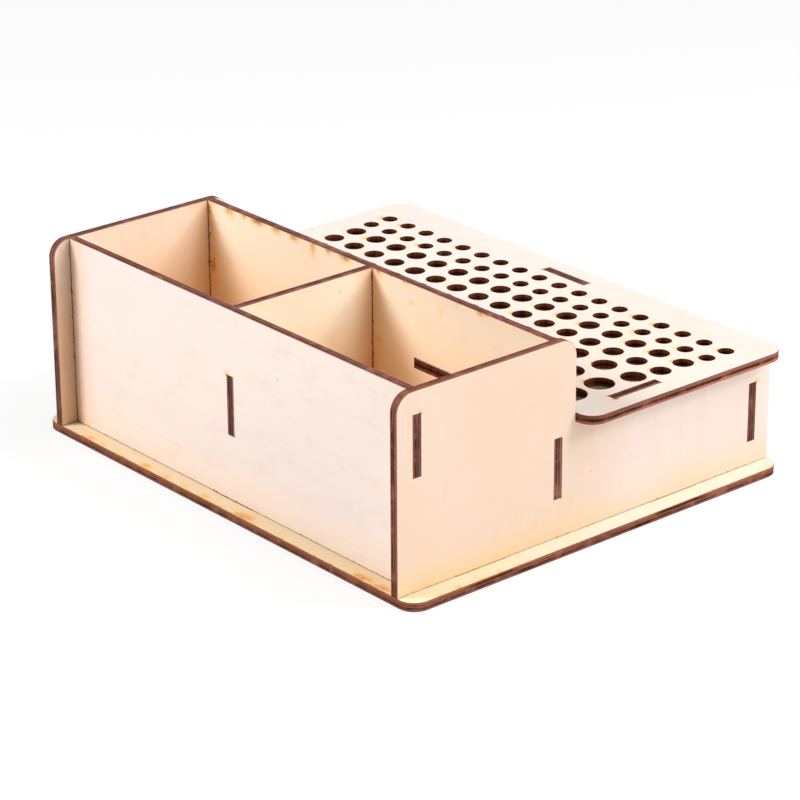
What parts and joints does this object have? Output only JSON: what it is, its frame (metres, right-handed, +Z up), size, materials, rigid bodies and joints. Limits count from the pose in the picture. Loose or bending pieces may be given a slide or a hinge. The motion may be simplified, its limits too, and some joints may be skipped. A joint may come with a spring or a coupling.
{
  "type": "tool holder stand",
  "caption": "Laser-cut plywood bench stand for hand tools: two open bins at the front and a low rack behind them, its top plate pierced by rows of round holes that shrink towards the back.",
  "frame": {"origin": "middle of the stand's outline on the underside of its base plate, where it stands on the bench", "axes": "+X to the right seen from the front, where the bins are; +Y to the back, where the smallest holes are; +Z up"},
  "size_m": [0.252, 0.211, 0.091],
  "materials": {
    "plywood": "bare, sanded poplar plywood with scorched brown laser-cut edges"
  },
  "bodies": {
    "root": {"base_plate": "plywood", "left_side_panel": "plywood", "right_side_panel": "plywood", "front_panel": "plywood", "bin_rear_wall": "plywood", "rear_panel": "plywood", "bin_divider": "plywood", "hole_plate": "plywood"}
  },
  "joints": []
}
